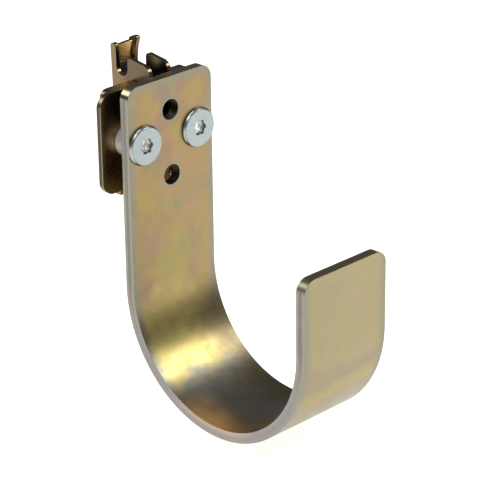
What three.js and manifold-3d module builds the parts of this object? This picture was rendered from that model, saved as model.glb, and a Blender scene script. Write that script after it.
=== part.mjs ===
// Hanging hook of bent flat bar on a base plate, with a spring latch that snaps into a slotted rail.
// Millimetres, +Z up. X = 0 is the middle of the bar, Y = 0 is the seat plane against the rail,
// Z = 0 is the top of the bar. The hook's tip points along -Y.
import * as THREE from 'three';
import { mergeVertices } from 'three/addons/utils/BufferGeometryUtils.js';
import Module from 'manifold-3d';

const wasm = await Module();
wasm.setup();

// Flat bar and its bend
const barWidth = 50;
const barThickness = 5;
const barCornerRadius = 6;
const bendInnerRadius = 50.6;
const backLegLength = 94.3;
const tipLegLength = 36.3;

// Access holes down the middle of the back leg, measured from the bar's top
const accessHoleRadius = 4.7;
const upperHoleDrop = 15.4;
const lowerHoleDrop = 46.2;

// Base plate: a plate with a lip along its top and bottom edges
const plateWidth = 61.6;
const plateHeight = 47.1;
const plateThickness = 2.5;
const plateCornerRadius = 6.5;
const plateTopDrop = 4.4;
const lipDepth = 4;
const lipWidth = 50.4;
const lipCornerRadius = 3.5;
const lipReturn = 4.6;
const tabMargin = 3;
const tabBottomDrop = 59;
const tabCornerRadius = 4;

// Bar to plate: round standoffs on two screws
const plateGap = 6.5;
const screwSpacing = 32;
const screwDrop = 28;
const screwRadius = 4;
const screwHeadRadius = 9.3;
const screwHeadThickness = 1.8;
const recessRadius = 3.5;
const recessLobe = 0.3;
const recessLobes = 6;
const recessDepth = 2.2;
const standoffRadius = 7.2;
const nutRadius = 6.6;
const nutThickness = 1.7;

// Spring latch: two side plates joined by a web at the rear
const latchWidth = 13;
const latchSheet = 2;
const earTop = 4.2;
const earRearTop = 5.2;
const earFrontRadius = 4.5;
const earRearRadius = 2;
const earLength = 14.4;
const catchNotchWidth = 7.4;
const catchNotchBottom = -3.8;
const wingDepth = 3.6;
const wingTop = 10.6;
const wingRadius = 1.7;
const webTop = 8.8;
const latchBottom = -36;
const latchTravel = 9;

// Lug housing behind the plate: two walls, a floor, feet and a hook under the rail's slot
const housingSheet = 1.8;
const footSheet = 2;
const footMargin = 6.4;
const footTop = -17;
const footBottom = -40;
const lowerFootBottom = -57.5;
const lowerFootInset = 0.4;
const footCornerRadius = 1;
const housingTop = -13;
const floorTop = -48;
const floorThickness = 2;
const hookNotchDepth = 7.4;
const hookNotchTop = -54.5;
const hookNotchRadius = 2;
const hookBottom = -61;
const hookTipChamfer = 2.5;

// Rivets that hold the housing's feet
const rivetRadius = 1.6;
const rivetHeadRadius = 2.7;
const rivetHeadHeight = 1.2;
const rivetWallGap = 0.5;
const closingHeadInset = 0.4;
const rivetDrop = 51.5;

// Spring, its cap and its guide rod
const springRadius = 4;
const springBore = 2.7;
const capTop = -4.2;
const capBottom = -12;
const capTongueTop = 1;
const capTongueDepth = 2.3;
const capBossRadius = 2.4;
const capBossLength = 2;
const rodRadius = 1.9;
const rodHeadRadius = 3.2;
const rodHeadThickness = 1.6;
const rodTipClearance = 1;

// Stop pin through the housing and the slots of the latch
const pinRadius = 1.6;
const pinNutGap = 0.6;
const pinSpringGap = 0.2;
const pinHeadRadius = 2.8;
const pinHeadThickness = 1.2;
const pinEnd = 1;
const clipRadius = 2.7;
const clipThickness = 0.8;

// Clearances
const contactGap = 0.05;
const boreClearance = 0.25;
const slideClearance = 0.4;
const joinOverlap = 0.5;
const cutOvershoot = 1;
const latchFrontClearance = 0.9;
const arcSteps = 8;
const roundSteps = 32;

// Places that follow from the sizes above
const plateRear = -lipDepth;
const plateFront = plateRear - plateThickness;
const barRear = plateFront - plateGap;
const barFront = barRear - barThickness;
const bendOuterRadius = bendInnerRadius + barThickness;
const bendCentreY = barRear - bendOuterRadius;
const plateTop = -plateTopDrop;
const plateBottom = plateTop - plateHeight;
const tabBottom = -tabBottomDrop;
const latchHalf = latchWidth / 2;
const latchFront = barRear + latchFrontClearance;
const earRear = latchFront + earLength;
const notchRadius = catchNotchWidth / 2;
const wingFront = earRear + catchNotchWidth;
const latchRear = wingFront + wingDepth;
const webFront = latchRear - latchSheet;
const slotHalf = latchHalf + slideClearance;
const housingHalf = slotHalf + housingSheet;
const closingHeadRadius = rivetHeadRadius - closingHeadInset;
const rivetX = housingHalf + rivetWallGap + closingHeadRadius;
const tabHalf = rivetX + tabMargin;
const footRear = plateRear + contactGap + footSheet;
const springY = (earRear + webFront) / 2;
const pinY = springY - springRadius - pinSpringGap - pinRadius;
const pinZ = -(screwDrop - nutRadius - pinHeadRadius - pinNutGap);

// A closed geometry as a solid for joining and cutting
function solidOf(geometry) {
  const bare = geometry.index ? geometry.toNonIndexed() : geometry.clone();
  bare.deleteAttribute('normal');
  bare.deleteAttribute('uv');
  const merged = mergeVertices(bare, 1e-4);
  return new wasm.Manifold(new wasm.Mesh({
    numProp: 3,
    vertProperties: new Float32Array(merged.attributes.position.array),
    triVerts: new Uint32Array(merged.index.array),
  }));
}

function geometryOf(solid) {
  const mesh = solid.getMesh();
  const geometry = new THREE.BufferGeometry();
  geometry.setAttribute('position', new THREE.BufferAttribute(mesh.vertProperties, 3));
  geometry.setIndex(new THREE.BufferAttribute(mesh.triVerts, 1));
  geometry.computeVertexNormals();
  return geometry;
}

function cut(body, ...tools) {
  return tools.reduce((rest, tool) => rest.subtract(tool), body);
}

function join(body, ...others) {
  return others.reduce((whole, other) => whole.add(other), body);
}

// A rectangle between two corners with each corner rounded by its own radius:
// lower left, lower right, upper right, upper left
function roundedRect(x0, y0, x1, y1, radii) {
  const [ll, lr, ur, ul] = radii;
  const shape = new THREE.Shape();
  shape.moveTo(x0 + ll, y0);
  shape.lineTo(x1 - lr, y0);
  if (lr > 0) shape.absarc(x1 - lr, y0 + lr, lr, -Math.PI / 2, 0, false);
  shape.lineTo(x1, y1 - ur);
  if (ur > 0) shape.absarc(x1 - ur, y1 - ur, ur, 0, Math.PI / 2, false);
  shape.lineTo(x0 + ul, y1);
  if (ul > 0) shape.absarc(x0 + ul, y1 - ul, ul, Math.PI / 2, Math.PI, false);
  shape.lineTo(x0, y0 + ll);
  if (ll > 0) shape.absarc(x0 + ll, y0 + ll, ll, Math.PI, 1.5 * Math.PI, false);
  return shape;
}

// An outline in X and Z, made solid from yFront to yRear
function alongY(shape, yFront, yRear, steps = arcSteps) {
  const geometry = new THREE.ExtrudeGeometry(shape, {
    depth: yRear - yFront, bevelEnabled: false, curveSegments: steps,
  });
  geometry.rotateX(Math.PI / 2);
  geometry.translate(0, yRear, 0);
  return solidOf(geometry);
}

// An outline in Y and Z, made solid from xLow to xHigh
function alongX(shape, xLow, xHigh, steps = arcSteps) {
  const geometry = new THREE.ExtrudeGeometry(shape, {
    depth: xHigh - xLow, bevelEnabled: false, curveSegments: steps,
  });
  geometry.applyMatrix4(new THREE.Matrix4().set(
    0, 0, 1, xLow,
    1, 0, 0, 0,
    0, 1, 0, 0,
    0, 0, 0, 1,
  ));
  return solidOf(geometry);
}

function box(x0, x1, y0, y1, z0, z1) {
  const geometry = new THREE.BoxGeometry(x1 - x0, y1 - y0, z1 - z0);
  geometry.translate((x0 + x1) / 2, (y0 + y1) / 2, (z0 + z1) / 2);
  return solidOf(geometry);
}

function rodAlongY(radius, y0, y1, x = 0, z = 0) {
  const geometry = new THREE.CylinderGeometry(radius, radius, y1 - y0, roundSteps);
  geometry.translate(x, (y0 + y1) / 2, z);
  return solidOf(geometry);
}

function rodAlongX(radius, x0, x1, y, z) {
  const geometry = new THREE.CylinderGeometry(radius, radius, x1 - x0, roundSteps);
  geometry.rotateZ(Math.PI / 2);
  geometry.translate((x0 + x1) / 2, y, z);
  return solidOf(geometry);
}

function rodAlongZ(radius, z0, z1, x, y) {
  const geometry = new THREE.CylinderGeometry(radius, radius, z1 - z0, roundSteps);
  geometry.rotateX(Math.PI / 2);
  geometry.translate(x, y, (z0 + z1) / 2);
  return solidOf(geometry);
}

const goldZinc = { color: 0xb0965f, roughness: 0.42, metalness: 0.9 };
const darkGoldZinc = { color: 0x84653a, roughness: 0.38, metalness: 0.9 };
const brightZinc = { color: 0xbcc3bd, roughness: 0.35, metalness: 0.9 };
const blackSteel = { color: 0x1c1a18, roughness: 0.55, metalness: 0.4 };
const springSteel = { color: 0x8c8c8a, roughness: 0.35, metalness: 0.9 };

const hook = new THREE.Group();

function addPiece(name, solid, look, parent = hook) {
  const mesh = new THREE.Mesh(geometryOf(solid), new THREE.MeshStandardMaterial(look));
  mesh.name = name;
  parent.add(mesh);
  return mesh;
}

// Hook bar: back leg, half-round bend and upright tip, with rounded ends
function hookStrap() {
  const tipRear = bendCentreY - bendInnerRadius;
  const tipFront = bendCentreY - bendOuterRadius;
  const tipTop = -backLegLength + tipLegLength;
  const outline = new THREE.Shape();
  outline.moveTo(barRear, 0);
  outline.lineTo(barFront, 0);
  outline.lineTo(barFront, -backLegLength);
  outline.absarc(bendCentreY, -backLegLength, bendInnerRadius, 0, Math.PI, true);
  outline.lineTo(tipRear, tipTop);
  outline.lineTo(tipFront, tipTop);
  outline.lineTo(tipFront, -backLegLength);
  outline.absarc(bendCentreY, -backLegLength, bendOuterRadius, Math.PI, 2 * Math.PI, false);
  outline.lineTo(barRear, 0);
  const bendSteps = 40;
  const bar = alongX(outline, -barWidth / 2, barWidth / 2, bendSteps);
  const half = barWidth / 2;
  const radii = [0, 0, barCornerRadius, barCornerRadius];
  const low = -backLegLength - bendOuterRadius - cutOvershoot;
  const backEnd = alongY(roundedRect(-half, low, half, 0, radii), bendCentreY, barRear + cutOvershoot);
  const tipEnd = alongY(roundedRect(-half, low, half, tipTop, radii), tipFront - cutOvershoot, bendCentreY);
  const holeDrops = [upperHoleDrop, lowerHoleDrop];
  const accessHoles = holeDrops.map(
    (drop) => rodAlongY(accessHoleRadius, barFront - cutOvershoot, barRear + cutOvershoot, 0, -drop));
  const screwHoles = [-1, 1].map((side) => rodAlongY(
    screwRadius + boreClearance, barFront - cutOvershoot, barRear + cutOvershoot,
    (side * screwSpacing) / 2, -screwDrop));
  return cut(bar.intersect(join(backEnd, tipEnd)), ...accessHoles, ...screwHoles);
}

// Flat flanged screw with a six-lobed recess, head at its own origin and shank along +Y
function flangeScrew() {
  const shankEnd = -barFront - contactGap * 2;
  const head = rodAlongY(screwHeadRadius, -screwHeadThickness, -contactGap);
  const shank = rodAlongY(screwRadius, -screwHeadThickness / 2, shankEnd);
  const recess = new THREE.Shape();
  const recessSteps = 48;
  for (let step = 0; step < recessSteps; step += 1) {
    const turn = (step / recessSteps) * 2 * Math.PI;
    const radius = recessRadius + recessLobe * Math.cos(recessLobes * turn);
    const point = [radius * Math.cos(turn), radius * Math.sin(turn)];
    if (step === 0) recess.moveTo(...point);
    else recess.lineTo(...point);
  }
  recess.closePath();
  const socket = alongY(recess, -screwHeadThickness - cutOvershoot, -screwHeadThickness + recessDepth);
  return cut(join(head, shank), socket);
}

function standoff() {
  const length = plateGap - 2 * contactGap;
  return cut(
    rodAlongY(standoffRadius, 0, length),
    rodAlongY(screwRadius + boreClearance, -cutOvershoot, length + cutOvershoot),
  );
}

// Thin six-sided nut pressed into the housing's foot
function clinchNut() {
  const hexagon = new THREE.CylinderGeometry(nutRadius, nutRadius, nutThickness, 6);
  hexagon.translate(0, nutThickness / 2, 0);
  const bore = rodAlongY(screwRadius + boreClearance, -cutOvershoot, nutThickness + cutOvershoot);
  return cut(solidOf(hexagon), bore);
}

function basePlate() {
  const half = plateWidth / 2;
  const corners = Array(4).fill(plateCornerRadius);
  const face = alongY(roundedRect(-half, plateBottom, half, plateTop, corners), plateFront, plateRear);
  const lipHalf = lipWidth / 2;
  const lipOutline = roundedRect(
    -lipHalf, plateBottom, lipHalf, plateTop, Array(4).fill(lipCornerRadius));
  const lipInner = roundedRect(
    -lipHalf + plateThickness, plateBottom + plateThickness,
    lipHalf - plateThickness, plateTop - plateThickness, Array(4).fill(lipCornerRadius - plateThickness));
  const lipRing = cut(
    alongY(lipOutline, plateFront, 0), alongY(lipInner, plateFront - cutOvershoot, cutOvershoot));
  const sideGap = box(
    -half, half, plateRear, cutOvershoot, plateBottom + lipReturn, plateTop - lipReturn);
  const lips = cut(lipRing, sideGap);
  const tab = alongY(
    roundedRect(
      -tabHalf, tabBottom, tabHalf, plateTop - plateThickness, [tabCornerRadius, tabCornerRadius, 0, 0]),
    plateFront, plateRear);
  const latchSlotBottom = latchBottom - latchTravel - slideClearance;
  const latchSlot = box(
    -slotHalf, slotHalf, plateFront - cutOvershoot, cutOvershoot, latchSlotBottom, plateTop + cutOvershoot);
  const tabGap = tabHalf + slideClearance;
  const lowerLipGap = box(
    -tabGap, tabGap, plateRear, cutOvershoot, plateBottom - cutOvershoot, plateBottom + lipReturn);
  const screwHoles = [-1, 1].map((side) => rodAlongY(
    screwRadius + boreClearance, plateFront - cutOvershoot, plateRear + cutOvershoot,
    (side * screwSpacing) / 2, -screwDrop));
  const rivetHoles = [-1, 1].map((side) => rodAlongY(
    rivetRadius + boreClearance, plateFront - cutOvershoot, plateRear + cutOvershoot,
    side * rivetX, -rivetDrop));
  return cut(join(face, cut(lips, lowerLipGap), tab), latchSlot, ...screwHoles, ...rivetHoles);
}

// Housing: side walls with the fixed hook, a floor for the spring, and feet against the plate
function lugHousing() {
  const front = plateRear + contactGap;
  const wallShape = new THREE.Shape();
  wallShape.moveTo(front, housingTop);
  wallShape.lineTo(front, hookNotchTop);
  wallShape.lineTo(hookNotchDepth - hookNotchRadius, hookNotchTop);
  wallShape.absarc(
    hookNotchDepth - hookNotchRadius, hookNotchTop - hookNotchRadius, hookNotchRadius, Math.PI / 2, 0, true);
  wallShape.lineTo(hookNotchDepth, hookBottom);
  wallShape.lineTo(latchRear - hookTipChamfer, hookBottom);
  wallShape.lineTo(latchRear, hookBottom + hookTipChamfer);
  wallShape.lineTo(latchRear, housingTop - hookTipChamfer);
  wallShape.lineTo(latchRear - hookTipChamfer, housingTop);
  wallShape.closePath();
  const walls = [-1, 1].map((side) => {
    const inner = side * slotHalf;
    const outer = side * housingHalf;
    return alongX(wallShape, Math.min(inner, outer), Math.max(inner, outer));
  });
  const floor = box(
    -slotHalf - joinOverlap, slotHalf + joinOverlap, front, latchRear, floorTop - floorThickness, floorTop);
  const footRadii = Array(4).fill(footCornerRadius);
  const feet = [-1, 1].map((side) => {
    const inner = side * (slotHalf + joinOverlap);
    const outer = side * (screwSpacing / 2 + footMargin);
    const lowerOuter = side * (tabHalf - lowerFootInset);
    const upperFoot = roundedRect(
      Math.min(inner, outer), footBottom, Math.max(inner, outer), footTop, footRadii);
    const lowerFoot = roundedRect(
      Math.min(inner, lowerOuter), lowerFootBottom, Math.max(inner, lowerOuter),
      footBottom + 2 * footCornerRadius, footRadii);
    return join(alongY(upperFoot, front, footRear), alongY(lowerFoot, front, footRear));
  });
  const screwHoles = [-1, 1].map((side) => rodAlongY(
    screwRadius + boreClearance, front - cutOvershoot, footRear + cutOvershoot,
    (side * screwSpacing) / 2, -screwDrop));
  const rivetHoles = [-1, 1].map((side) => rodAlongY(
    rivetRadius + boreClearance, front - cutOvershoot, footRear + cutOvershoot,
    side * rivetX, -rivetDrop));
  const pinHole = rodAlongX(
    pinRadius + boreClearance, -housingHalf - cutOvershoot, housingHalf + cutOvershoot, pinY, pinZ);
  const rodHole = rodAlongZ(
    rodRadius + boreClearance, floorTop - floorThickness - cutOvershoot, floorTop + cutOvershoot, 0, springY);
  return cut(
    join(walls[0], walls[1], floor, ...feet), ...screwHoles, ...rivetHoles, pinHole, rodHole);
}

// Rivet with a domed head in front, shank along +Y and a closing head behind the foot
function footRivet() {
  const gripLength = plateThickness + contactGap + footSheet;
  const dome = new THREE.Shape();
  dome.moveTo(0, 0);
  dome.lineTo(rivetHeadRadius, 0);
  dome.quadraticCurveTo(rivetHeadRadius, rivetHeadHeight, 0, rivetHeadHeight);
  const headSteps = 6;
  const domeHead = new THREE.LatheGeometry(dome.getPoints(headSteps), roundSteps);
  domeHead.rotateX(Math.PI);
  domeHead.translate(0, -contactGap, 0);
  const shank = rodAlongY(rivetRadius, -rivetHeadHeight / 2, gripLength + rivetHeadHeight / 2);
  const closingHead = rodAlongY(
    closingHeadRadius, gripLength + contactGap, gripLength + contactGap + rivetHeadHeight);
  return join(solidOf(domeHead), shank, closingHead);
}

// Latch: ears for the thumb in front, catch notch, and the upright wings at the rear
function springLatch() {
  const notchCentreZ = catchNotchBottom + notchRadius;
  const outline = new THREE.Shape();
  outline.moveTo(latchFront, latchBottom);
  outline.lineTo(latchRear, latchBottom);
  outline.lineTo(latchRear, wingTop - wingRadius);
  outline.absarc(latchRear - wingRadius, wingTop - wingRadius, wingRadius, 0, Math.PI / 2, false);
  outline.absarc(wingFront + wingRadius, wingTop - wingRadius, wingRadius, Math.PI / 2, Math.PI, false);
  outline.lineTo(wingFront, notchCentreZ);
  outline.absarc(wingFront - notchRadius, notchCentreZ, notchRadius, 0, Math.PI, true);
  outline.lineTo(earRear, earRearTop - earRearRadius);
  outline.absarc(earRear - earRearRadius, earRearTop - earRearRadius, earRearRadius, 0, Math.PI / 2, false);
  outline.absarc(
    latchFront + earFrontRadius, earTop - earFrontRadius, earFrontRadius, Math.PI / 2, Math.PI, false);
  outline.closePath();
  const inner = latchHalf - latchSheet;
  const sides = [alongX(outline, -latchHalf, -inner), alongX(outline, inner, latchHalf)];
  const web = box(-inner - joinOverlap, inner + joinOverlap, webFront, latchRear, latchBottom, webTop);
  const slotTop = pinZ + latchTravel + pinRadius + boreClearance;
  const slotBottom = pinZ - pinRadius - boreClearance;
  const slotReach = pinRadius + boreClearance;
  const pinSlot = alongX(
    roundedRect(
      pinY - slotReach, slotBottom, pinY + slotReach, slotTop,
      Array(4).fill(slotReach)),
    -latchHalf - cutOvershoot, latchHalf + cutOvershoot);
  return cut(join(sides[0], sides[1], web), pinSlot);
}

// Cap between the latch's sides that takes the spring's upper end
function springCap() {
  const half = latchHalf - latchSheet - contactGap * 2;
  const rear = webFront - contactGap;
  const front = springY - springRadius;
  return join(
    box(-half, half, front, rear, capBottom, capTop),
    box(-half, half, rear - capTongueDepth, rear, capTop - joinOverlap, capTongueTop),
    rodAlongZ(capBossRadius, capBottom - capBossLength, capBottom + joinOverlap, 0, springY),
  );
}

// Coil spring as a sleeve of its outer and inner diameter
function latchSpring() {
  const low = floorTop + contactGap;
  const high = capBottom - contactGap;
  return cut(
    rodAlongZ(springRadius, low, high, 0, springY),
    rodAlongZ(springBore, low - cutOvershoot, high + cutOvershoot, 0, springY),
  );
}

function guideRod() {
  const underFloor = floorTop - floorThickness - contactGap;
  const tip = capBottom - capBossLength - latchTravel - rodTipClearance;
  return join(
    rodAlongZ(rodRadius, underFloor - rodHeadThickness / 2, tip, 0, springY),
    rodAlongZ(rodHeadRadius, underFloor - rodHeadThickness, underFloor, 0, springY),
  );
}

function stopPin() {
  const headInner = -housingHalf - contactGap;
  const shankEnd = housingHalf + clipThickness + pinEnd;
  return join(
    rodAlongX(pinRadius, headInner - pinHeadThickness / 2, shankEnd, pinY, pinZ),
    rodAlongX(pinHeadRadius, headInner - pinHeadThickness, headInner, pinY, pinZ),
  );
}

function pinClip() {
  const inner = housingHalf + contactGap;
  return cut(
    rodAlongX(clipRadius, inner, inner + clipThickness, pinY, pinZ),
    rodAlongX(
      pinRadius + contactGap, inner - cutOvershoot, inner + clipThickness + cutOvershoot, pinY, pinZ),
  );
}

addPiece('hook_strap', hookStrap(), goldZinc);
addPiece('base_plate', basePlate(), darkGoldZinc);
addPiece('lug_housing', lugHousing(), darkGoldZinc);

for (const [sideName, side] of [['left', -1], ['right', 1]]) {
  const screwX = (side * screwSpacing) / 2;
  addPiece(`flange_screw_${sideName}`, flangeScrew(), brightZinc).position.set(screwX, barFront, -screwDrop);
  addPiece(`standoff_${sideName}`, standoff(), brightZinc)
    .position.set(screwX, barRear + contactGap, -screwDrop);
  addPiece(`clinch_nut_${sideName}`, clinchNut(), brightZinc)
    .position.set(screwX, footRear + contactGap, -screwDrop);
  addPiece(`foot_rivet_${sideName}`, footRivet(), brightZinc)
    .position.set(side * rivetX, plateFront, -rivetDrop);
}

const latchGroup = new THREE.Group();
hook.add(latchGroup);
addPiece('spring_latch', springLatch(), darkGoldZinc, latchGroup);
addPiece('spring_cap', springCap(), blackSteel, latchGroup);
addPiece('latch_spring', latchSpring(), springSteel);
addPiece('guide_rod', guideRod(), brightZinc);
addPiece('stop_pin', stopPin(), brightZinc);
addPiece('pin_clip', pinClip(), blackSteel);

export default hook;
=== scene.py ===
import math

import bmesh
import bpy
from mathutils import Matrix, Vector


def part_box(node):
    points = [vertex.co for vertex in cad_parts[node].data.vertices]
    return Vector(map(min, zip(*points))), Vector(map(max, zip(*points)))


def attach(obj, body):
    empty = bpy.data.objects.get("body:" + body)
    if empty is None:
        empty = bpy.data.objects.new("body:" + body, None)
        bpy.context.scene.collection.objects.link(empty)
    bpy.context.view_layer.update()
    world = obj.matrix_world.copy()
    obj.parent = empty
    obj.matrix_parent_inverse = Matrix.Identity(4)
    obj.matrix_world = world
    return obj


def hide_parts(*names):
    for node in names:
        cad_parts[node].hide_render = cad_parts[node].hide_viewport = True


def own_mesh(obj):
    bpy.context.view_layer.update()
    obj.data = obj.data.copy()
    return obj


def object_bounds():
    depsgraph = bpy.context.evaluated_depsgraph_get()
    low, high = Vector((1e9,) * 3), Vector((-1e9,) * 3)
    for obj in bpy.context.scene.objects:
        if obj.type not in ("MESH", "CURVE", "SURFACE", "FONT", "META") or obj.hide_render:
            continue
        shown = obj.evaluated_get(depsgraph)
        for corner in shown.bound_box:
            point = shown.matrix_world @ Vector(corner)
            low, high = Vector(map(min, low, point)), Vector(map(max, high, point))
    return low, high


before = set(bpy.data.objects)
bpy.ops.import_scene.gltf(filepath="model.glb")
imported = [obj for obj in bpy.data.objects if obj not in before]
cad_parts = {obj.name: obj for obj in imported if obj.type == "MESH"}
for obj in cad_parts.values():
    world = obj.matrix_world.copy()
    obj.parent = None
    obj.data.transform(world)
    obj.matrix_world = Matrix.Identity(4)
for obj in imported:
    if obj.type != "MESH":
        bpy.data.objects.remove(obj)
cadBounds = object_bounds()
mm = 0.001
mergeLook = {"nodeGap": 2e-6, "ownGap": 1e-7, "flatAngle": math.radians(0.5), "samePlace": 1e-6}
print("frame loaded")


def pieceFrom(bm, name):
    mesh = bpy.data.meshes.new(name)
    bm.to_mesh(mesh)
    bm.free()
    piece = bpy.data.objects.new(name, mesh)
    bpy.context.scene.collection.objects.link(piece)
    return piece


def roundMesh(radius, start, end, segments=64):
    # a closed cylinder from start to end
    start, end = Vector(start), Vector(end)
    bm = bmesh.new()
    bmesh.ops.create_cone(
        bm, cap_ends=True, segments=segments, radius1=radius, radius2=radius, depth=(end - start).length)
    turn = (end - start).to_track_quat("Z", "Y").to_matrix()
    bmesh.ops.rotate(bm, cent=(0, 0, 0), matrix=turn, verts=bm.verts)
    bmesh.ops.translate(bm, vec=(start + end) / 2, verts=bm.verts)
    return bm


def same(first, second):
    return abs(first - second) < mergeLook["samePlace"]


def nodeMesh(node):
    # a merged copy of a frame node, with its flat faces joined up
    bm = bmesh.new()
    bm.from_mesh(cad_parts[node].data)
    bmesh.ops.remove_doubles(bm, verts=bm.verts, dist=mergeLook["nodeGap"])
    bmesh.ops.dissolve_limit(bm, angle_limit=mergeLook["flatAngle"], verts=bm.verts, edges=bm.edges)
    return bm


def applyModifiers(piece):
    graph = bpy.context.evaluated_depsgraph_get()
    mesh = bpy.data.meshes.new_from_object(piece.evaluated_get(graph))
    piece.modifiers.clear()
    piece.data = mesh
    return piece


def cutWith(piece, *cutters, how="DIFFERENCE"):
    for cutter in cutters:
        tool = pieceFrom(cutter, "cutter")
        step = piece.modifiers.new("cut", "BOOLEAN")
        step.operation = how
        step.solver = "EXACT"
        step.object = tool
        applyModifiers(piece)
        bpy.data.objects.remove(tool)
    return piece


def roundEdges(piece, width, segments=3, angle=32.0):
    piece.data.shade_smooth()
    step = piece.modifiers.new("roundedEdges", "BEVEL")
    step.width = width
    step.segments = segments
    step.limit_method = "ANGLE"
    step.angle_limit = math.radians(angle)
    step.harden_normals = True
    step.use_clamp_overlap = True
    level = piece.modifiers.new("levelNormals", "WEIGHTED_NORMAL")
    level.weight = 100
    level.keep_sharp = True
    return piece


def refineNode(node, name, width, segments=3, angle=32.0):
    piece = pieceFrom(nodeMesh(node), name)
    piece.data.materials.clear()
    return roundEdges(piece, width, segments, angle)


def dress(piece, material, slotName, body, *nodes):
    piece.data.materials.clear()
    piece.data.materials.append(material)
    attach(piece, body)
    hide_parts(*nodes)
    return piece


class Graph:
    # writes a material's nodes as sums, in a new material or in one that is given
    def __init__(self, name, material=None):
        self.material = material or bpy.data.materials.new(name)
        self.material.use_nodes = True
        self.nodes = self.material.node_tree.nodes
        self.links = self.material.node_tree.links
        self.shader = self.nodes["Principled BSDF"]
        self.place = self.nodes.new("ShaderNodeTexCoord").outputs["Object"]

    def link(self, source, target):
        if isinstance(source, (int, float, tuple)):
            target.default_value = source
        else:
            self.links.new(source, target)

    def math(self, operation, a, b=0.0, clamp=False):
        node = self.nodes.new("ShaderNodeMath")
        node.operation = operation
        node.use_clamp = clamp
        self.link(a, node.inputs[0])
        self.link(b, node.inputs[1])
        return node.outputs[0]

    def plus(self, first, second):
        return self.math("ADD", first, second)

    def minus(self, first, second):
        return self.math("SUBTRACT", first, second)

    def times(self, first, *others):
        for other in others:
            first = self.math("MULTIPLY", first, other)
        return first

    def size(self, source):
        return self.math("ABSOLUTE", source)

    def reach(self, first, second):
        return self.math("SQRT", self.plus(self.times(first, first), self.times(second, second)))

    def sway(self, source, width):
        # noise as a shift to either side of nothing
        return self.times(self.minus(source, 0.5), width)

    def stretch(self, size, source=None, offset=(0.0, 0.0, 0.0)):
        node = self.nodes.new("ShaderNodeMapping")
        self.links.new(source or self.place, node.inputs["Vector"])
        node.inputs["Scale"].default_value = size
        node.inputs["Location"].default_value = offset
        return node.outputs[0]

    def noise(self, scale, detail=3.0, rough=0.5, vector=None, warp=0.0):
        node = self.nodes.new("ShaderNodeTexNoise")
        self.links.new(vector or self.place, node.inputs["Vector"])
        node.inputs["Scale"].default_value = scale
        node.inputs["Detail"].default_value = detail
        node.inputs["Roughness"].default_value = rough
        node.inputs["Distortion"].default_value = warp
        return node.outputs["Fac"]

    def ramp(self, source, low, high, start=0.0, end=1.0):
        node = self.nodes.new("ShaderNodeMapRange")
        node.interpolation_type = "SMOOTHSTEP"
        self.link(source, node.inputs["Value"])
        node.inputs["From Min"].default_value = low
        node.inputs["From Max"].default_value = high
        node.inputs["To Min"].default_value = start
        node.inputs["To Max"].default_value = end
        return node.outputs["Result"]

    def mix(self, amount, first, second):
        node = self.nodes.new("ShaderNodeMix")
        node.data_type = "RGBA"
        self.link(amount, node.inputs["Factor"])
        self.link(first, node.inputs["A"])
        self.link(second, node.inputs["B"])
        return node.outputs["Result"]

    def bands(self, source, stops):
        node = self.nodes.new("ShaderNodeValToRGB")
        self.link(source, node.inputs[0])
        ramp = node.color_ramp
        while len(ramp.elements) < len(stops):
            ramp.elements.new(0.5)
        for element, (place, colour) in zip(ramp.elements, stops):
            element.position = place
            element.color = colour
        return node.outputs[0]

    def split(self, vector=None):
        node = self.nodes.new("ShaderNodeSeparateXYZ")
        self.links.new(vector or self.place, node.inputs[0])
        return node.outputs

    def distance(self, x, z):
        # distance from an axis that runs along Y through x and z
        parts = self.split()
        return self.reach(self.minus(parts["X"], x), self.minus(parts["Z"], z))

    def bump(self, height, strength, depth, before=None):
        node = self.nodes.new("ShaderNodeBump")
        node.inputs["Strength"].default_value = strength
        node.inputs["Distance"].default_value = depth
        self.links.new(height, node.inputs["Height"])
        if before is not None:
            self.links.new(before, node.inputs["Normal"])
        return node.outputs["Normal"]


barFinish = {
    "gold": (0.350, 0.246, 0.120, 1),
    "rose": (0.315, 0.205, 0.150, 1),
    "straw": (0.345, 0.262, 0.100, 1),
    "green": (0.230, 0.235, 0.145, 1),
    "grey": (0.262, 0.250, 0.182, 1),
    "cloudScale": 34.0,
    "roughness": 0.33,
    "edgeBand": 5.4 * mm,
    "topBand": 6.5 * mm,
    "haloBand": 2.2 * mm,
}
# painted shade: the plate and housing use the bar's zinc made darker, for the shade between the parts and the
# dark strap back they reflect
shadedPlateFinish = {
    **barFinish,
    "gold": (0.240, 0.145, 0.075, 1),
    "rose": (0.235, 0.120, 0.095, 1),
    "straw": (0.250, 0.165, 0.075, 1),
    "green": (0.160, 0.140, 0.085, 1),
    "grey": (0.130, 0.110, 0.070, 1),
    "roughness": 0.26,
    "edgeBand": 1.2 * mm,
}
# painted shade: the latch is the same zinc painted darker still, for the shade it sits in
shadedLatchFinish = {
    **shadedPlateFinish,
    "gold": (0.165, 0.092, 0.046, 1),
    "rose": (0.165, 0.080, 0.055, 1),
    "straw": (0.180, 0.110, 0.045, 1),
    "green": (0.125, 0.105, 0.065, 1),
    "roughness": 0.22,
}


zincLook = {  # what all yellow zinc shares
    "cloudStretch": (1.0, 1.0, 0.55),
    "strawRange": (0.46, 0.57),
    "roseScale": 0.7,
    "roseStretch": (1.3, 1.0, 0.8),
    "roseRange": (0.48, 0.62),
    "roseAmount": 0.7,
    "greenScale": 1.1,
    "greenStretch": (0.8, 1.2, 0.7),
    "greenRange": (0.52, 0.64),
    "greenAmount": 0.75,
    "borderAmount": 0.9,
    "haloSway": 2.4 * mm,
    "rimSway": 2.2 * mm,
    "speckScale": 1500.0,
    "speckRange": (0.56, 0.74),
    "speckAmount": 0.22,
    "speck": (0.12, 0.10, 0.07, 1),
    "smudgeRoughness": 0.20,
    "streakRoughness": 0.06,
    "polish": 0.16,
    "polishBand": 6.1 * mm,
    "legMiddle": 15.5 * mm,
    "legHalf": (2.2 * mm, 2.4 * mm),
}


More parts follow.
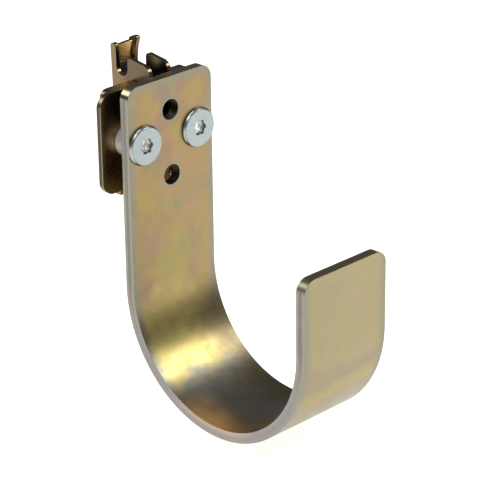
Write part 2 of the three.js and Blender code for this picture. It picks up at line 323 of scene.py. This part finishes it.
def zincBorder(g, look, fade, halos, edgeX):
    # how grey the zinc is, round the holes and along the edges
    z = zincLook
    grey = None
    for x, height, radius in halos:
        away = g.plus(g.minus(g.distance(x, height), radius), g.sway(fade, z["haloSway"]))
        ring = g.ramp(away, 0.2 * mm, look["haloBand"], z["borderAmount"], 0.0)
        grey = ring if grey is None else g.math("MAXIMUM", grey, ring)
    if edgeX is not None:
        parts = g.split()
        side = g.plus(g.size(parts["X"]), g.sway(fade, z["rimSway"]))
        rim = g.ramp(side, edgeX - look["edgeBand"], edgeX - 0.3 * mm, 0.0, z["borderAmount"])
        crown = g.plus(parts["Z"], g.sway(fade, z["rimSway"]))
        rim = g.math("MAXIMUM", rim, g.ramp(crown, -look["topBand"], 0.0, 0.0, z["borderAmount"]))
        grey = rim if grey is None else g.math("MAXIMUM", grey, rim)
    return grey


def yellowZinc(name, look, halos=(), edgeX=None, shift=0.0, tones=None, wear=None):
    # passivated zinc: clouds of gold, rose, straw and green, greyer beside edges and holes
    z = zincLook
    g = Graph(name)
    base = g.stretch((1.0, 1.0, 1.0), None, (shift, shift * 0.7, shift * 1.3))
    scale = look["cloudScale"]
    clouds = g.noise(scale, 5.0, 0.6, g.stretch(z["cloudStretch"], base), 0.25)
    roses = g.noise(scale * z["roseScale"], 4.0, 0.55, g.stretch(z["roseStretch"], base), 0.4)
    greens = g.noise(scale * z["greenScale"], 5.0, 0.6, g.stretch(z["greenStretch"], base), 0.3)
    fade = g.noise(260.0, 3.0, 0.5, base)
    tint = g.mix(g.ramp(clouds, *z["strawRange"]), look["gold"], look["straw"])
    tint = g.mix(g.times(g.ramp(roses, *z["roseRange"]), z["roseAmount"]), tint, look["rose"])
    tint = g.mix(g.times(g.ramp(greens, *z["greenRange"]), z["greenAmount"]), tint, look["green"])
    if tones is not None:
        tint = tones(g, tint, fade)
    grey = zincBorder(g, look, fade, halos, edgeX)
    if grey is not None:
        tint = g.mix(grey, tint, look["grey"])
    # the wear step also paints shade and a warm reflection into the bend
    if wear is not None:
        tint = wear(g, tint, fade)
    specks = g.ramp(g.noise(z["speckScale"], 2.0, 0.6, base), *z["speckRange"], 0.0, z["speckAmount"])
    g.link(g.mix(specks, tint, z["speck"]), g.shader.inputs["Base Color"])
    g.shader.inputs["Metallic"].default_value = 1.0
    streaks = g.noise(900.0, 2.0, 0.6, g.stretch((1.0, 1.0, 0.06), base))
    smudges = g.noise(160.0, 4.0, 0.6, base, 0.2)
    rough = g.plus(g.times(smudges, z["smudgeRoughness"]), look["roughness"] - 0.10)
    rough = g.plus(rough, g.times(streaks, z["streakRoughness"]))
    if edgeX is not None:
        # the leg is glossier towards its long edges
        parts = g.split()
        side = g.ramp(g.size(parts["X"]), edgeX - z["polishBand"], edgeX - 0.1 * mm)
        leg = g.ramp(g.size(g.plus(parts["Y"], z["legMiddle"])), *z["legHalf"], 1.0, 0.0)
        rough = g.math("SUBTRACT", rough, g.times(side, leg, z["polish"]), clamp=True)
    g.link(rough, g.shader.inputs["Roughness"])
    normal = g.bump(g.noise(210.0, 3.0, 0.5, base), 0.2, 0.2 * mm)  # dents
    normal = g.bump(streaks, 0.16, 0.03 * mm, normal)
    normal = g.bump(g.noise(700.0, 3.0, 0.6, base), 0.30, 0.06 * mm, normal)  # pits
    normal = g.bump(g.noise(2600.0, 2.0, 0.6, base), 0.25, 0.02 * mm, normal)  # grain
    g.link(normal, g.shader.inputs["Normal"])
    return g.material


def plainMetal(name, colour, roughness, tone=(0.8, 0.8, 0.8, 1), scale=300.0, metallic=1.0):
    g = Graph(name)
    cloud = g.noise(scale, 3.0, 0.55, None, 0.3)
    g.link(g.mix(g.ramp(cloud, 0.4, 0.65, 0.0, 0.5), colour, tone), g.shader.inputs["Base Color"])
    g.shader.inputs["Metallic"].default_value = metallic
    wear = g.noise(scale * 2.2, 3.0, 0.6)
    g.link(g.plus(g.times(wear, 0.18), roughness - 0.09), g.shader.inputs["Roughness"])
    fine = g.noise(3200.0, 2.0, 0.6)
    g.link(g.bump(fine, 0.2, 0.02 * mm, g.bump(wear, 0.2, 0.05 * mm)), g.shader.inputs["Normal"])
    return g.material


barLook = {
    "thickness": 5.0 * mm,
    "cornerRadius": 6.0 * mm,
    "cornerSteps": 12,
    "bendSteps": 84,
    "tipRise": 36.3 * mm,
    "edgeRound": 0.55 * mm,
    "accessHoleRadius": 4.7 * mm,
    "accessHoleDrops": (15.4 * mm, 46.2 * mm),
    "screwHoleRadius": 4.25 * mm,
    "cutterReach": 10.0 * mm,
}
barLow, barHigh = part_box("hook_strap")
screwBoxes = {side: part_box("flange_screw_" + side) for side in ("left", "right")}
screwPlaces = {side: (b[0] + b[1]) / 2 for side, b in screwBoxes.items()}


def hookBar(look):
    half = barHigh.x
    rear = barHigh.y
    front = rear - look["thickness"]
    outer = (barHigh.y - barLow.y) / 2
    centre = Vector((0, rear - outer, barLow.z + outer))
    bm = bmesh.new()
    corners = [(-half, front), (half, front), (half, rear), (-half, rear)]
    ring = [bm.verts.new((x, y, barHigh.z)) for x, y in corners]
    loop = [bm.edges.new((ring[i], ring[(i + 1) % 4])) for i in range(4)]

    def grow(edges, push):
        grown = bmesh.ops.extrude_edge_only(bm, edges=edges)["geom"]
        bmesh.ops.translate(bm, vec=push, verts=[v for v in grown if isinstance(v, bmesh.types.BMVert)])
        return [e for e in grown if isinstance(e, bmesh.types.BMEdge)]

    loop = grow(loop, (0, 0, centre.z - barHigh.z))
    geom = loop + list({v for e in loop for v in e.verts})
    turned = bmesh.ops.spin(
        bm, geom=geom, cent=centre, axis=(1, 0, 0), angle=-math.pi, steps=look["bendSteps"])
    loop = [e for e in turned["geom_last"] if isinstance(e, bmesh.types.BMEdge)]
    loop = grow(loop, (0, 0, look["tipRise"]))
    bmesh.ops.remove_doubles(bm, verts=bm.verts, dist=mergeLook["ownGap"])
    bmesh.ops.holes_fill(bm, edges=[e for e in bm.edges if e.is_boundary], sides=4)
    tipTop = centre.z + look["tipRise"]
    cornerEdges = [
        e for e in bm.edges
        if same(e.verts[0].co.x, e.verts[1].co.x) and same(e.verts[0].co.z, e.verts[1].co.z)
        and (same(e.verts[0].co.z, barHigh.z) or same(e.verts[0].co.z, tipTop))]
    bmesh.ops.bevel(
        bm, geom=cornerEdges, offset=look["cornerRadius"], offset_type="OFFSET", affect="EDGES",
        segments=look["cornerSteps"], profile=0.5, material=-1)
    bmesh.ops.recalc_face_normals(bm, faces=bm.faces)
    piece = pieceFrom(bm, "hookBar")
    start, end = front - look["cutterReach"], rear + look["cutterReach"]
    cutters = [
        roundMesh(look["accessHoleRadius"], (0, start, -drop), (0, end, -drop), 72)
        for drop in look["accessHoleDrops"]]
    cutters += [
        roundMesh(look["screwHoleRadius"], (p.x, start, p.z), (p.x, end, p.z), 48)
        for p in screwPlaces.values()]
    cutWith(piece, *cutters)
    return roundEdges(piece, look["edgeRound"], 3)


barTones = {
    "tip": (0.350, 0.300, 0.170, 1),
    "bend": (0.262, 0.258, 0.246, 1),
    # painted shade for the right side of the bend
    "paintedBendShade": (0.235, 0.190, 0.105, 1),
    # painted highlight colour for the bend
    "paintedHighlightGold": (0.520, 0.420, 0.150, 1),
    # painted warm reflection at the foot of the bend
    "paintedWarmReflection": (0.900, 0.560, 0.230, 1),
    "lilac": (0.290, 0.262, 0.262, 1),
    "shear": (0.120, 0.125, 0.110, 1),
}
barRainbow = [
    (0.0, (0.32, 0.25, 0.14, 1)), (0.16, (0.25, 0.28, 0.15, 1)), (0.34, (0.35, 0.235, 0.145, 1)),
    (0.55, (0.36, 0.31, 0.11, 1)), (0.80, (0.31, 0.24, 0.165, 1)), (1.0, barTones["tip"])]
barPatches = [  # middle x and z, half width, half height, strength, colour
    (-3 * mm, -6 * mm, 7 * mm, 9 * mm, 0.75, (0.285, 0.225, 0.165, 1)),
    (-14 * mm, -12 * mm, 9 * mm, 7 * mm, 0.60, (0.360, 0.262, 0.105, 1)),
    (12 * mm, -11 * mm, 8 * mm, 6 * mm, 0.60, (0.355, 0.266, 0.105, 1)),
    (-7 * mm, -22 * mm, 6 * mm, 5 * mm, 0.65, (0.330, 0.205, 0.150, 1)),
    (4 * mm, -29 * mm, 7 * mm, 6 * mm, 0.55, (0.350, 0.268, 0.100, 1)),
    (-18 * mm, -56 * mm, 8 * mm, 9 * mm, 0.70, (0.365, 0.266, 0.095, 1)),
    (12 * mm, -55 * mm, 9 * mm, 12 * mm, 0.45, (0.310, 0.240, 0.125, 1)),
    (-2 * mm, -88 * mm, 11 * mm, 18 * mm, 0.55, (0.330, 0.285, 0.095, 1)),
    (-20 * mm, -92 * mm, 6 * mm, 14 * mm, 0.60, (0.330, 0.215, 0.140, 1)),
]
bendRadius = (barHigh.y - barLow.y) / 2
bendCentre = (barHigh.y - bendRadius, barLow.z + bendRadius)


def barPlaces(g, fade):
    # where a point is on the bar; wander makes the borders between tones uneven
    parts = g.split()
    drift = g.noise(38.0, 3.0, 0.6, None, 0.2)
    wander = g.plus(g.sway(drift, 34 * mm), g.sway(fade, 5 * mm))
    below = g.math("MINIMUM", g.minus(parts["Z"], bendCentre[1]), 0.0)
    reach = g.reach(g.minus(parts["Y"], bendCentre[0]), below)
    thick = barLook["thickness"]
    hollow = g.ramp(reach, bendRadius - thick * 0.75, bendRadius - thick * 0.3, 1.0, 0.0)
    rear = g.ramp(parts["Y"], bendCentre[0] - 38 * mm, bendCentre[0] - 24 * mm)
    return {
        "parts": parts, "wander": wander, "height": g.plus(parts["Z"], wander),
        "across": g.plus(parts["X"], wander), "reach": reach, "hollow": hollow, "bend": g.times(rear, hollow)}


def patch(g, x, z, reachX, reachZ, wander):
    parts = g.split()
    dx = g.math("DIVIDE", g.minus(g.plus(parts["X"], wander), x), reachX)
    dz = g.math("DIVIDE", g.minus(g.plus(parts["Z"], wander), z), reachZ)
    return g.ramp(g.plus(g.times(dx, dx), g.times(dz, dz)), 0.25, 1.0, 1.0, 0.0)


def barTint(g, tint, fade):
    # patches down the leg, tan on the tip, rainbow bands low on the tip, a painted highlight of brighter yellow
    # in the bend, and grey in the bend
    at = barPlaces(g, fade)
    for x, z, reachX, reachZ, amount, colour in barPatches:
        spot = patch(g, x, z, reachX, reachZ, g.times(at["wander"], 0.6))
        tint = g.mix(g.times(spot, amount), tint, colour)
    depth, height = at["parts"]["Y"], at["height"]
    middle = bendCentre[0]
    tip = g.ramp(g.plus(depth, at["wander"]), middle - 40 * mm, middle - 8 * mm, 0.85, 0.0)
    tint = g.mix(tip, tint, barTones["tip"])
    rainbow = g.bands(g.math("DIVIDE", g.plus(height, 138 * mm), 40 * mm, clamp=True), barRainbow)
    outer = g.ramp(depth, middle - 30 * mm, middle - 12 * mm, 0.8, 0.0)
    tint = g.mix(g.times(outer, g.ramp(height, -100 * mm, -88 * mm, 1.0, 0.0)), tint, rainbow)
    # painted highlight: brighter yellow where the key light's highlight falls in the bend
    yellow = g.times(
        g.ramp(height, -114 * mm, -98 * mm, 1.0, 0.0), g.ramp(at["across"], 6 * mm, 28 * mm, 1.0, 0.0))
    tint = g.mix(g.times(yellow, g.times(at["bend"], 0.85)), tint, barTones["paintedHighlightGold"])
    low = g.ramp(height, -142 * mm, -132 * mm, 1.0, 0.0)
    return g.mix(g.times(low, at["bend"], 0.85), tint, barTones["bend"])


def barWearAndPaintedLight(g, tint, fade):
    # painted shade on the right side of the bend so that the highlight falls off there, a painted warm reflection
    # at the foot of the bend, lilac narrow sides with a dark shear band
    at = barPlaces(g, fade)
    parts, across = at["parts"], at["across"]
    # painted shade on the right of the bend, so that the highlight falls off there
    right = g.times(g.ramp(at["height"], -120 * mm, -98 * mm, 1.0, 0.0), g.ramp(across, 0.0, 22 * mm, 0.0, 0.9))
    tint = g.mix(g.times(right, at["bend"]), tint, barTones["paintedBendShade"])
    # painted reflection: a warm glint low inside the bend
    paintedWarmReflection = g.times(
        g.ramp(parts["Z"], -143.6 * mm, -139 * mm, 1.0, 0.0), g.ramp(across, -24 * mm, -6 * mm, 1.0, 0.0))
    tint = g.mix(g.times(paintedWarmReflection, at["hollow"], 0.85), tint, barTones["paintedWarmReflection"])
    side = g.ramp(g.size(parts["X"]), barHigh.x - 0.25 * mm, barHigh.x - 0.05 * mm)
    lilac = g.times(side, g.ramp(parts["Z"], -125 * mm, -95 * mm, 0.8, 0.35))
    tint = g.mix(lilac, tint, barTones["lilac"])
    middle = g.size(g.minus(at["reach"], bendRadius - barLook["thickness"] * 0.5))
    band = g.ramp(g.plus(middle, g.sway(fade, 1.2 * mm)), 0.7 * mm, 1.3 * mm, 0.6, 0.0)
    legs = g.times(g.ramp(parts["Z"], -110 * mm, -90 * mm, 0.25, 1.0), side)
    return g.mix(g.times(band, legs), tint, barTones["shear"])


halos = [(0.0, -drop, barLook["accessHoleRadius"]) for drop in barLook["accessHoleDrops"]]
barZinc = yellowZinc("yellowZincBar", barFinish, halos, barHigh.x, 0.0, barTint, barWearAndPaintedLight)
dress(hookBar(barLook), barZinc, "gold_zinc", "hanger", "hook_strap")
print("hook bar made")


plateLook = {
    "edgeRound": 0.45 * mm,
    "housingEdgeRound": 0.3 * mm,
    "frontLine": (-6.4 * mm, -6.0 * mm),
    "sideLine": (0.5 * mm, 0.15 * mm),
    # painted shade on the plate's sides and a painted highlight line along its front edge
    "paintedShadeTone": (0.085, 0.060, 0.034, 1),
    "paintedHighlightTone": (0.36, 0.33, 0.22, 1),
}
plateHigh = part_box("base_plate")[1]


def platePaintedEdges(g, tint, fade):
    # painted shade: a dark edge all round; painted highlight: a paler line along its front edge
    parts = g.split()
    front = g.ramp(parts["Y"], *plateLook["frontLine"], 1.0, 0.0)
    start, end = plateLook["sideLine"]
    side = g.ramp(g.size(parts["X"]), plateHigh.x - start, plateHigh.x - end)
    tint = g.mix(side, tint, plateLook["paintedShadeTone"])
    return g.mix(g.times(front, side), tint, plateLook["paintedHighlightTone"])


plateZinc = yellowZinc("yellowZincPlate", shadedPlateFinish, (), None, 0.31, platePaintedEdges)
housingZinc = yellowZinc("yellowZincHousing", shadedPlateFinish, (), None, 0.83)
basePlate = refineNode("base_plate", "basePlate", plateLook["edgeRound"])
dress(basePlate, plateZinc, "gold_zinc", "hanger", "base_plate")
lugHousing = refineNode("lug_housing", "lugHousing", plateLook["housingEdgeRound"])
dress(lugHousing, housingZinc, "gold_zinc", "hanger", "lug_housing")
print("plate and housing made")


latchLook = {
    "edgeRound": 0.35 * mm,
    "sheet": 2.0 * mm,
    "bendRound": 1.9 * mm,
    "innerRound": 1.5 * mm,
    "wingDepth": 3.6 * mm,
    "flareStart": 0.0 * mm,
    "flareRight": 2.3 * mm,
    "flareLeft": 0.3 * mm,
    "leftWingLower": 0.5 * mm,
    "flareStep": 1.6 * mm,
    "flareSteps": 6,
    "goldFrom": (2 * mm, 9 * mm),
    # painted light on the wings and on the front of the web
    "litWingTone": (0.215, 0.150, 0.082, 1),
    "webFront": (10.9 * mm, 11.2 * mm),
    "webRear": (11.6 * mm, 12.4 * mm),
    "webSides": (4.2 * mm, 4.7 * mm),
    "litWebTone": (0.72, 0.48, 0.17, 1),
    "capEdgeRound": 0.3 * mm,
}


def latchPiece(look):
    low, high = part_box("spring_latch")
    half = high.x
    bm = nodeMesh("spring_latch")
    bendEdges = [
        e for e in bm.edges
        if all(same(abs(v.co.x), half) and same(v.co.y, high.y) for v in e.verts)]
    inner = half - look["sheet"]
    webFront = high.y - look["sheet"]
    innerEdges = [
        e for e in bm.edges
        if all(same(abs(v.co.x), inner) and same(v.co.y, webFront) for v in e.verts)]
    bmesh.ops.bevel(
        bm, geom=innerEdges, offset=look["innerRound"], offset_type="OFFSET", affect="EDGES",
        segments=6, profile=0.5, material=-1)
    bmesh.ops.bevel(
        bm, geom=bendEdges, offset=look["bendRound"], offset_type="OFFSET", affect="EDGES",
        segments=6, profile=0.5, material=-1)
    wingFront = high.y - look["wingDepth"]
    bmesh.ops.bisect_plane(
        bm, geom=list(bm.verts) + list(bm.edges) + list(bm.faces), plane_co=(0, wingFront - 0.02 * mm, 0),
        plane_no=(0, 1, 0))
    # cuts across the wings, so that they can bend
    levels = [
        ((0, 0, look["flareStart"] + step * look["flareStep"]), (0, 0, 1)) for step in range(look["flareSteps"])]
    for place, across in levels + [((0, wingFront + 1.2 * mm, 0), (0, 1, 0))]:
        wing = [f for f in bm.faces if f.calc_center_median().y > wingFront - 0.01 * mm]
        edges = list({e for f in wing for e in f.edges})
        verts = list({v for f in wing for v in f.verts})
        bmesh.ops.bisect_plane(bm, geom=verts + edges + wing, plane_co=place, plane_no=across)
    span = high.z - look["flareStart"]
    for vert in bm.verts:
        outside = abs(vert.co.x) > half - look["sheet"] * 1.05
        if vert.co.z < look["flareStart"] or vert.co.y < wingFront - 1e-5 or not outside:
            continue
        rise = min(1.0, (vert.co.z - look["flareStart"]) / span)
        forward = min(1.0, (high.y - vert.co.y) / look["wingDepth"])
        flare = look["flareRight"] if vert.co.x > 0 else look["flareLeft"]
        vert.co.x += math.copysign(flare * rise * rise * forward, vert.co.x)
        if vert.co.x < 0:
            vert.co.z -= look["leftWingLower"] * rise * rise
    bmesh.ops.recalc_face_normals(bm, faces=bm.faces)
    return roundEdges(pieceFrom(bm, "springLatch"), look["edgeRound"])


def latchPaintedLight(g, tint, fade):
    # painted light: the wings and the front of the web behind the catch are painted a brighter gold than the
    # ears, where light falls on them
    parts = g.split()
    depth = g.plus(parts["Y"], g.sway(fade, 4 * mm))
    tint = g.mix(g.ramp(depth, *latchLook["goldFrom"], 0.0, 0.9), tint, latchLook["litWingTone"])
    web = g.times(
        g.ramp(parts["Y"], *latchLook["webFront"]), g.ramp(g.size(parts["X"]), *latchLook["webSides"], 1.0, 0.0),
        g.ramp(parts["Y"], *latchLook["webRear"], 1.0, 0.0))
    return g.mix(web, tint, latchLook["litWebTone"])


latchZinc = yellowZinc("yellowZincLatch", shadedLatchFinish, (), None, 0.57, latchPaintedLight)
dress(latchPiece(latchLook), latchZinc, "gold_zinc", "latch", "spring_latch")
blackCap = plainMetal("blackCap", (0.02, 0.02, 0.02, 1), 0.5, (0.05, 0.045, 0.04, 1), 300.0, 0.0)
springCap = refineNode("spring_cap", "springCap", latchLook["capEdgeRound"])
dress(springCap, blackCap, "black_cap", "latch", "spring_cap")
print("latch made")


screwLook = {
    "recessRadius": 3.15 * mm,
    "recessLobe": 0.42 * mm,
    "recessDepth": 1.3 * mm,
    "headThickness": 1.75 * mm,
    "faceRadius": 8.65 * mm,
    "taperDepth": 1.0 * mm,
    "rimRound": 0.4 * mm,
    "shankRadius": 4.0 * mm,
    "shankStart": 0.5 * mm,
    "cutterReach": 1.0 * mm,
    "lobes": 6,
    "lobePoints": 60,
    # painted shade on the recess walls and painted light on the recess floor
    "paintedRecessShade": (0.16, 0.165, 0.16, 1),
    "paintedRecessLight": ((0.32, 0.34, 0.33, 1), (0.86, 0.89, 0.88, 1)),
}
brightZinc = plainMetal("brightZinc", (0.42, 0.47, 0.445, 1), 0.30, (0.47, 0.51, 0.485, 1))
# painted light: the standoffs get a brighter, less metallic copy of the bright zinc, so that they look lit in the
# shade behind the strap
standoffLitZinc = plainMetal("standoffLitZinc", (0.80, 0.83, 0.84, 1), 0.30, (0.88, 0.90, 0.90, 1), 300.0, 0.45)


def screwFinish(place, face):
    # painted light: a paler floor in the recess; painted shade: darker walls in the recess
    material = plainMetal("screwZinc", (0.35, 0.395, 0.385, 1), 0.30, (0.39, 0.43, 0.42, 1))
    g = Graph(None, material)
    near = g.ramp(g.distance(place.x, place.z), 3.6 * mm, 3.9 * mm, 1.0, 0.0)
    depth = g.split()["Y"]
    near = g.times(near, g.ramp(depth, face + 2.0 * mm, face + 2.1 * mm, 1.0, 0.0))
    walls = g.times(near, g.ramp(depth, face + 0.15 * mm, face + 0.3 * mm))
    inside = g.times(near, g.ramp(depth, face + 1.1 * mm, face + 1.25 * mm))
    colour = g.shader.inputs["Base Color"].links[0].from_socket
    colour = g.mix(walls, colour, screwLook["paintedRecessShade"])
    floor = g.mix(g.ramp(g.noise(620.0, 2.0, 0.6), 0.45, 0.60), *screwLook["paintedRecessLight"])
    g.link(g.mix(inside, colour, floor), g.shader.inputs["Base Color"])
    rough = g.shader.inputs["Roughness"].links[0].from_socket
    g.link(g.plus(rough, g.times(inside, 0.12)), g.shader.inputs["Roughness"])
    return material


def flangeScrew(name, low, high, look):
    middle = (low + high) / 2
    radius = (high.x - low.x) / 2
    face = low.y
    headBack = face + look["headThickness"]
    profile = [
        (0, headBack), (radius, headBack), (radius, face + look["taperDepth"]), (look["faceRadius"], face),
        (0, face)]
    bm = bmesh.new()
    verts = [bm.verts.new((middle.x + out, y, middle.z)) for out, y in profile]
    edges = [bm.edges.new(pair) for pair in zip(verts, verts[1:])]
    bmesh.ops.spin(
        bm, geom=verts + edges, cent=(middle.x, 0, middle.z), axis=(0, 1, 0), angle=2 * math.pi,
        steps=96, use_merge=True)
    bmesh.ops.remove_doubles(bm, verts=bm.verts, dist=mergeLook["ownGap"])
    bmesh.ops.dissolve_limit(bm, angle_limit=mergeLook["flatAngle"], verts=bm.verts, edges=bm.edges)
    bmesh.ops.recalc_face_normals(bm, faces=bm.faces)
    head = pieceFrom(bm, name)
    shank = roundMesh(
        look["shankRadius"], (middle.x, face + look["shankStart"], middle.z), (middle.x, high.y, middle.z), 64)
    cutWith(head, shank, how="UNION")
    star = bmesh.new()
    bmesh.ops.create_circle(star, cap_ends=True, segments=look["lobePoints"], radius=1.0)
    for vert in star.verts:
        turn = math.atan2(vert.co.y, vert.co.x)
        vert.co *= look["recessRadius"] + look["recessLobe"] * math.cos(look["lobes"] * turn)
    bmesh.ops.rotate(star, cent=(0, 0, 0), matrix=Matrix.Rotation(math.pi / 2, 3, "X"), verts=star.verts)
    bmesh.ops.translate(star, vec=(middle.x, face - look["cutterReach"], middle.z), verts=star.verts)
    grown = bmesh.ops.extrude_face_region(star, geom=list(star.faces))["geom"]
    bmesh.ops.translate(
        star, vec=(0, look["recessDepth"] + look["cutterReach"], 0),
        verts=[v for v in grown if isinstance(v, bmesh.types.BMVert)])
    bmesh.ops.recalc_face_normals(star, faces=star.faces)
    cutWith(head, star)
    return roundEdges(head, look["rimRound"], 3, 25.0)


for side, (low, high) in screwBoxes.items():
    dress(flangeScrew("flangeScrew" + side.capitalize(), low, high, screwLook),
          screwFinish(screwPlaces[side], low.y), "bright_zinc", "hanger", "flange_screw_" + side)
    for node, name, width, zinc in (
            ("standoff_", "standoff", 0.3, standoffLitZinc), ("clinch_nut_", "clinchNut", 0.3, brightZinc),
            ("foot_rivet_", "footRivet", 0.15, brightZinc)):
        piece = refineNode(node + side, name + side.capitalize(), width * mm)
        dress(piece, zinc, "bright_zinc", "hanger", node + side)
print("screws made")


springLook = {
    "wire": 1.2 * mm, "wirePoints": 12, "turns": 7.5, "stepsPerTurn": 28, "closedPitch": 1.02, "travel": 9.0 * mm}


def coilSpring(look):
    low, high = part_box("latch_spring")
    centre = (low + high) / 2
    coilRadius = (high.x - low.x) / 2 - look["wire"] / 2
    bm = bmesh.new()
    bmesh.ops.create_circle(bm, cap_ends=False, segments=look["wirePoints"], radius=look["wire"] / 2)
    bmesh.ops.rotate(bm, cent=(0, 0, 0), matrix=Matrix.Rotation(math.pi / 2, 3, "X"), verts=bm.verts)
    bmesh.ops.translate(
        bm, vec=(centre.x + coilRadius, centre.y, low.z + look["wire"] / 2), verts=bm.verts)
    geom = list(bm.verts) + list(bm.edges)
    closedPitch = look["wire"] * look["closedPitch"]
    openPitch = (high.z - low.z - look["wire"] - 2 * closedPitch) / look["turns"]
    for turns, pitch in ((1.0, closedPitch), (look["turns"], openPitch), (1.0, closedPitch)):
        steps = round(turns * look["stepsPerTurn"])
        turned = bmesh.ops.spin(
            bm, geom=geom, cent=(centre.x, centre.y, 0), axis=(0, 0, 1), angle=turns * 2 * math.pi,
            dvec=(0, 0, pitch * turns / steps), steps=steps)
        geom = turned["geom_last"]
    bmesh.ops.remove_doubles(bm, verts=bm.verts, dist=mergeLook["ownGap"])
    bmesh.ops.holes_fill(bm, edges=[e for e in bm.edges if e.is_boundary], sides=look["wirePoints"])
    bmesh.ops.recalc_face_normals(bm, faces=bm.faces)
    piece = pieceFrom(bm, "latchSpring")
    piece.data.shade_smooth()
    return piece, low, high


springSteel = plainMetal("springSteel", (0.32, 0.32, 0.31, 1), 0.3, (0.42, 0.41, 0.39, 1))
spring, springLow, springHigh = coilSpring(springLook)
dress(spring, springSteel, "spring_wire", "hanger", "latch_spring")
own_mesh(spring)

smallLook = {"guide_rod": 0.25 * mm, "stop_pin": 0.25 * mm, "pin_clip": 0.12 * mm}  # edge rounds
blackOxide = plainMetal("blackOxide", (0.03, 0.028, 0.026, 1), 0.45, (0.07, 0.06, 0.05, 1))
for node, name, zinc, slotName in (
        ("guide_rod", "guideRod", brightZinc, "bright_zinc"), ("stop_pin", "stopPin", brightZinc, "bright_zinc"),
        ("pin_clip", "pinClip", blackOxide, "black_clip")):
    dress(refineNode(node, name, smallLook[node]), zinc, slotName, "hanger", node)
print("spring and small parts made")


stageLook = {
    "floorDrop": 4.0 * mm,
    "floorSize": 12.0,
    "floorGlow": 0.85,
    "floorColour": (0.9, 0.9, 0.9, 1),
    "skyColour": (0.5, 0.5, 0.52, 1),
    "skyStrength": 0.26,
    "lightAim": (0, -0.06, -0.08),
}
lights = {  # direction, distance, size, power
    "key": ((0.60, -0.43, 0.66), 0.9, 0.26, 2.3),
    "rear": ((-0.44, 0.65, 0.56), 1.4, 0.6, 5.0),
    "front": ((-0.50, -0.30, 0.80), 1.2, 0.4, 2.4),
    "top": ((-0.1, 0.0, 1.0), 0.9, 0.3, 1.2),
}
cameraLook = {
    "azimuth": -44.459,
    "elevation": 23.932,
    "roll": -0.672,
    "distance": 0.9966,
    "target": (0, -0.068, -0.07),
    "focal": 2285.66,
    "centre": (251.614, 254.528),
    "frameWidth": 485.0,
    "sensor": 36.0,
    "clipStart": 0.05,
}


def floorPlane(look):
    bm = bmesh.new()
    bmesh.ops.create_grid(bm, x_segments=2, y_segments=2, size=look["floorSize"] / 2)
    bmesh.ops.translate(bm, vec=(0, 0, cadBounds[0][2] - look["floorDrop"]), verts=bm.verts)
    floor = pieceFrom(bm, "floor")
    paper = bpy.data.materials.new("paleFloor")
    paper.use_nodes = True
    shader = paper.node_tree.nodes["Principled BSDF"]
    shader.inputs["Base Color"].default_value = look["floorColour"]
    shader.inputs["Roughness"].default_value = 0.9
    shader.inputs["Specular IOR Level"].default_value = 0.0
    shader.inputs["Emission Color"].default_value = (1, 1, 1, 1)
    shader.inputs["Emission Strength"].default_value = look["floorGlow"]
    floor.data.materials.append(paper)


def softLight(name, direction, distance, size, power):
    lamp = bpy.data.lights.new(name, "AREA")
    lamp.shape = "SQUARE"
    lamp.size = size
    lamp.energy = power
    holder = bpy.data.objects.new(name, lamp)
    bpy.context.scene.collection.objects.link(holder)
    aim = Vector(stageLook["lightAim"])
    holder.location = aim + Vector(direction).normalized() * distance
    holder.rotation_euler = (aim - holder.location).to_track_quat("-Z", "Y").to_euler()


def camera(view):
    azimuth, elevation = math.radians(view["azimuth"]), math.radians(view["elevation"])
    back = Vector((math.sin(azimuth) * math.cos(elevation), -math.cos(azimuth) * math.cos(elevation),
                   math.sin(elevation)))
    right = Vector((math.cos(azimuth), math.sin(azimuth), 0))
    up = back.cross(right)
    roll = math.radians(view["roll"])
    tiltedRight = math.cos(roll) * right + math.sin(roll) * up
    tiltedUp = -math.sin(roll) * right + math.cos(roll) * up
    target = Vector(view["target"])
    lens = bpy.data.cameras.new("camera")
    lens.sensor_width = view["sensor"]
    lens.lens = view["focal"] / view["frameWidth"] * view["sensor"]
    half = view["frameWidth"] / 2
    lens.shift_x = (half - view["centre"][0]) / view["frameWidth"]
    lens.shift_y = (view["centre"][1] - half) / view["frameWidth"]
    lens.clip_start = view["clipStart"]
    holder = bpy.data.objects.new("camera", lens)
    bpy.context.scene.collection.objects.link(holder)
    turn = Matrix((tiltedRight, tiltedUp, back)).transposed().to_4x4()
    holder.matrix_world = Matrix.Translation(target + back * view["distance"]) @ turn
    bpy.context.scene.camera = holder


floorPlane(stageLook)
for name, settings in lights.items():
    softLight(name, *settings)
world = bpy.data.worlds.new("studio")
world.use_nodes = True
sky = world.node_tree.nodes["Background"]
sky.inputs["Color"].default_value = stageLook["skyColour"]
sky.inputs["Strength"].default_value = stageLook["skyStrength"]
# rays from the camera see white paper, and all others the dim sky
paper = world.node_tree.nodes.new("ShaderNodeBackground")
paper.inputs["Color"].default_value = (1, 1, 1, 1)
blend = world.node_tree.nodes.new("ShaderNodeMixShader")
rays = world.node_tree.nodes.new("ShaderNodeLightPath")
world.node_tree.links.new(rays.outputs["Is Camera Ray"], blend.inputs[0])
world.node_tree.links.new(sky.outputs[0], blend.inputs[1])
world.node_tree.links.new(paper.outputs[0], blend.inputs[2])
world.node_tree.links.new(blend.outputs[0], world.node_tree.nodes["World Output"].inputs[0])
bpy.context.scene.world = world
bpy.context.scene.view_settings.view_transform = "Standard"
camera(cameraLook)
print("stage made")
